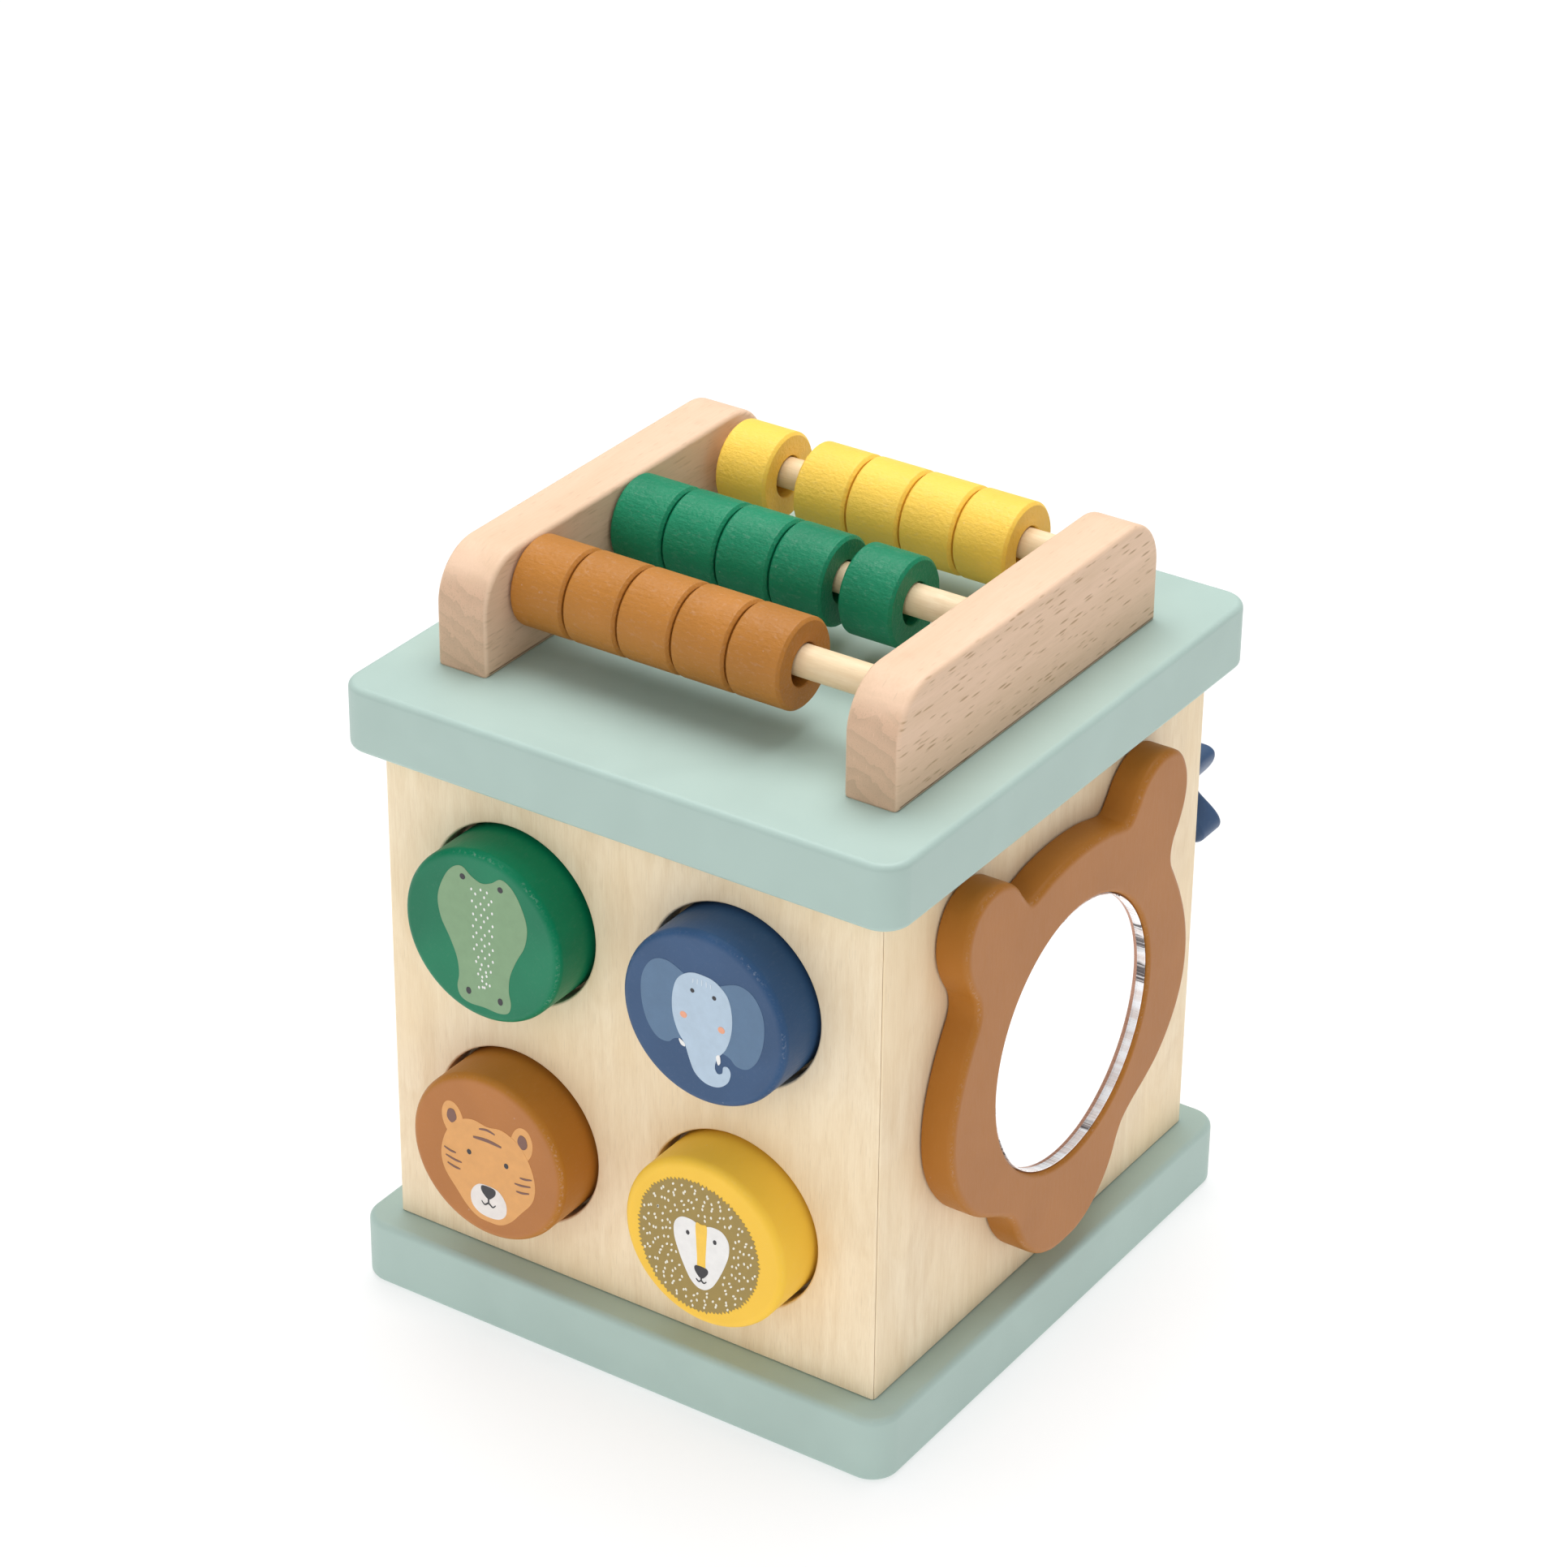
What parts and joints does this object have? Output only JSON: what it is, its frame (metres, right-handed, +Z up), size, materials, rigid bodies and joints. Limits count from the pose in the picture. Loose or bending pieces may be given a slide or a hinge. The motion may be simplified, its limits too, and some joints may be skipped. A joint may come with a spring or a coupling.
{
  "type": "baby activity cube",
  "caption": "Wooden activity cube for a baby: sliding bead abacus on top, sprung animal push buttons in front, bear-shaped mirror at the side and meshing gears behind.",
  "frame": {"origin": "centre of the base plate's underside, on the surface it stands on", "axes": "+Z up, -Y the face with the four animal buttons, +X the face with the bear mirror, +Y the face with the gears"},
  "size_m": [0.1721, 0.192, 0.2165],
  "materials": {
    "mint_paint": "thin pale mint paint over plywood, matt",
    "plywood": "clear matt lacquer over pale plywood",
    "beech": "solid beech, clear matt lacquer",
    "turned_wood": "turned pale hardwood, clear matt lacquer",
    "bear_brown_paint": "matt brown paint over wood",
    "mirror": "polished safety mirror sheet",
    "green_paint": "satin green paint over wood",
    "navy_paint": "satin navy paint over wood",
    "brown_paint": "satin brown stain paint over wood",
    "yellow_paint": "satin yellow paint over wood",
    "spring_steel": "plated spring wire"
  },
  "bodies": {
    "frame": {"bottom_plate": "mint_paint", "top_plate": "mint_paint", "front_panel": "plywood", "right_panel": "plywood", "back_panel": "plywood", "left_panel": "plywood", "corner_post_left": "plywood", "corner_post_right": "plywood", "guide_board": "plywood", "abacus_bar_left": "beech", "abacus_bar_right": "beech", "bar_dowel_left_front": "turned_wood", "bar_dowel_left_back": "turned_wood", "bar_dowel_right_front": "turned_wood", "bar_dowel_right_back": "turned_wood", "abacus_rod_front": "turned_wood", "abacus_rod_middle": "turned_wood", "abacus_rod_back": "turned_wood", "mirror_frame": "bear_brown_paint", "mirror": "mirror", "navy_gear_peg": "beech", "yellow_gear_peg": "beech", "green_gear_peg": "beech", "crocodile_spring": "spring_steel", "elephant_spring": "spring_steel", "tiger_spring": "spring_steel", "lion_spring": "spring_steel"},
    "crocodile_knob": {"crocodile_button": "green_paint", "crocodile_flange": "plywood", "crocodile_stem": "turned_wood"},
    "elephant_knob": {"elephant_button": "navy_paint", "elephant_flange": "plywood", "elephant_stem": "turned_wood"},
    "tiger_knob": {"tiger_button": "brown_paint", "tiger_flange": "plywood", "tiger_stem": "turned_wood"},
    "lion_knob": {"lion_button": "yellow_paint", "lion_flange": "plywood", "lion_stem": "turned_wood"},
    "brown_bead_1": {"brown_bead_1": "brown_paint"},
    "brown_bead_2": {"brown_bead_2": "brown_paint"},
    "brown_bead_3": {"brown_bead_3": "brown_paint"},
    "brown_bead_4": {"brown_bead_4": "brown_paint"},
    "brown_bead_5": {"brown_bead_5": "brown_paint"},
    "green_bead_1": {"green_bead_1": "green_paint"},
    "green_bead_2": {"green_bead_2": "green_paint"},
    "green_bead_3": {"green_bead_3": "green_paint"},
    "green_bead_4": {"green_bead_4": "green_paint"},
    "green_bead_5": {"green_bead_5": "green_paint"},
    "yellow_bead_1": {"yellow_bead_1": "yellow_paint"},
    "yellow_bead_2": {"yellow_bead_2": "yellow_paint"},
    "yellow_bead_3": {"yellow_bead_3": "yellow_paint"},
    "yellow_bead_4": {"yellow_bead_4": "yellow_paint"},
    "yellow_bead_5": {"yellow_bead_5": "yellow_paint"},
    "navy_gear": {"navy_gear": "navy_paint"},
    "yellow_gear": {"yellow_gear": "yellow_paint"},
    "green_gear": {"green_gear": "green_paint"}
  },
  "joints": [
    {"name": "crocodile_press", "type": "slide", "parent": "frame", "child": "crocodile_knob", "axis": [0, 1, 0], "range_m": [0, 0.01], "stiffness_N_per_m": 150, "springref_m": -0.02, "deforming": ["crocodile_spring"]},
    {"name": "elephant_press", "type": "slide", "parent": "frame", "child": "elephant_knob", "axis": [0, 1, 0], "range_m": [0, 0.01], "stiffness_N_per_m": 150, "springref_m": -0.02, "deforming": ["elephant_spring"]},
    {"name": "tiger_press", "type": "slide", "parent": "frame", "child": "tiger_knob", "axis": [0, 1, 0], "range_m": [0, 0.01], "stiffness_N_per_m": 150, "springref_m": -0.02, "deforming": ["tiger_spring"]},
    {"name": "lion_press", "type": "slide", "parent": "frame", "child": "lion_knob", "axis": [0, 1, 0], "range_m": [0, 0.01], "stiffness_N_per_m": 150, "springref_m": -0.02, "deforming": ["lion_spring"]},
    {"name": "brown_bead_1_slide", "type": "slide", "parent": "frame", "child": "brown_bead_1", "axis": [1, 0, 0], "range_m": [0, 0.0248]},
    {"name": "brown_bead_2_slide", "type": "slide", "parent": "frame", "child": "brown_bead_2", "axis": [1, 0, 0], "range_m": [0, 0.0248]},
    {"name": "brown_bead_3_slide", "type": "slide", "parent": "frame", "child": "brown_bead_3", "axis": [1, 0, 0], "range_m": [0, 0.0248]},
    {"name": "brown_bead_4_slide", "type": "slide", "parent": "frame", "child": "brown_bead_4", "axis": [1, 0, 0], "range_m": [0, 0.0248]},
    {"name": "brown_bead_5_slide", "type": "slide", "parent": "frame", "child": "brown_bead_5", "axis": [1, 0, 0], "range_m": [0, 0.0248]},
    {"name": "green_bead_1_slide", "type": "slide", "parent": "frame", "child": "green_bead_1", "axis": [1, 0, 0], "range_m": [0, 0.0048]},
    {"name": "green_bead_2_slide", "type": "slide", "parent": "frame", "child": "green_bead_2", "axis": [1, 0, 0], "range_m": [0, 0.0048]},
    {"name": "green_bead_3_slide", "type": "slide", "parent": "frame", "child": "green_bead_3", "axis": [1, 0, 0], "range_m": [0, 0.0048]},
    {"name": "green_bead_4_slide", "type": "slide", "parent": "frame", "child": "green_bead_4", "axis": [1, 0, 0], "range_m": [0, 0.0048]},
    {"name": "green_bead_5_slide", "type": "slide", "parent": "frame", "child": "green_bead_5", "axis": [1, 0, 0], "range_m": [0, 0.02]},
    {"name": "yellow_bead_1_slide", "type": "slide", "parent": "frame", "child": "yellow_bead_1", "axis": [1, 0, 0], "range_m": [-0.0034, 0.0084]},
    {"name": "yellow_bead_2_slide", "type": "slide", "parent": "frame", "child": "yellow_bead_2", "axis": [1, 0, 0], "range_m": [0, 0.013]},
    {"name": "yellow_bead_3_slide", "type": "slide", "parent": "frame", "child": "yellow_bead_3", "axis": [1, 0, 0], "range_m": [0, 0.013]},
    {"name": "yellow_bead_4_slide", "type": "slide", "parent": "frame", "child": "yellow_bead_4", "axis": [1, 0, 0], "range_m": [0, 0.013]},
    {"name": "yellow_bead_5_slide", "type": "slide", "parent": "frame", "child": "yellow_bead_5", "axis": [1, 0, 0], "range_m": [0, 0.013]},
    {"name": "yellow_gear_turn", "type": "hinge", "parent": "frame", "child": "yellow_gear", "pos_m": [0.00342, 0.087, 0.08514], "axis": [0, 1, 0], "continuous": true},
    {"name": "navy_gear_turn", "type": "hinge", "parent": "frame", "child": "navy_gear", "pos_m": [0.0495, 0.087, 0.1174], "axis": [0, 1, 0], "continuous": true},
    {"name": "green_gear_turn", "type": "hinge", "parent": "frame", "child": "green_gear", "pos_m": [-0.04265, 0.087, 0.05287], "axis": [0, 1, 0], "continuous": true}
  ],
  "couplings": [
    {"joint": "brown_bead_2_slide", "follows": "brown_bead_1_slide", "ratio": 1},
    {"joint": "brown_bead_3_slide", "follows": "brown_bead_1_slide", "ratio": 1},
    {"joint": "brown_bead_4_slide", "follows": "brown_bead_1_slide", "ratio": 1},
    {"joint": "brown_bead_5_slide", "follows": "brown_bead_1_slide", "ratio": 1},
    {"joint": "green_bead_2_slide", "follows": "green_bead_1_slide", "ratio": 1},
    {"joint": "green_bead_3_slide", "follows": "green_bead_1_slide", "ratio": 1},
    {"joint": "green_bead_4_slide", "follows": "green_bead_1_slide", "ratio": 1},
    {"joint": "yellow_bead_3_slide", "follows": "yellow_bead_2_slide", "ratio": 1},
    {"joint": "yellow_bead_4_slide", "follows": "yellow_bead_2_slide", "ratio": 1},
    {"joint": "yellow_bead_5_slide", "follows": "yellow_bead_2_slide", "ratio": 1},
    {"joint": "navy_gear_turn", "follows": "yellow_gear_turn", "ratio": -1.25},
    {"joint": "green_gear_turn", "follows": "yellow_gear_turn", "ratio": -1.25}
  ]
}
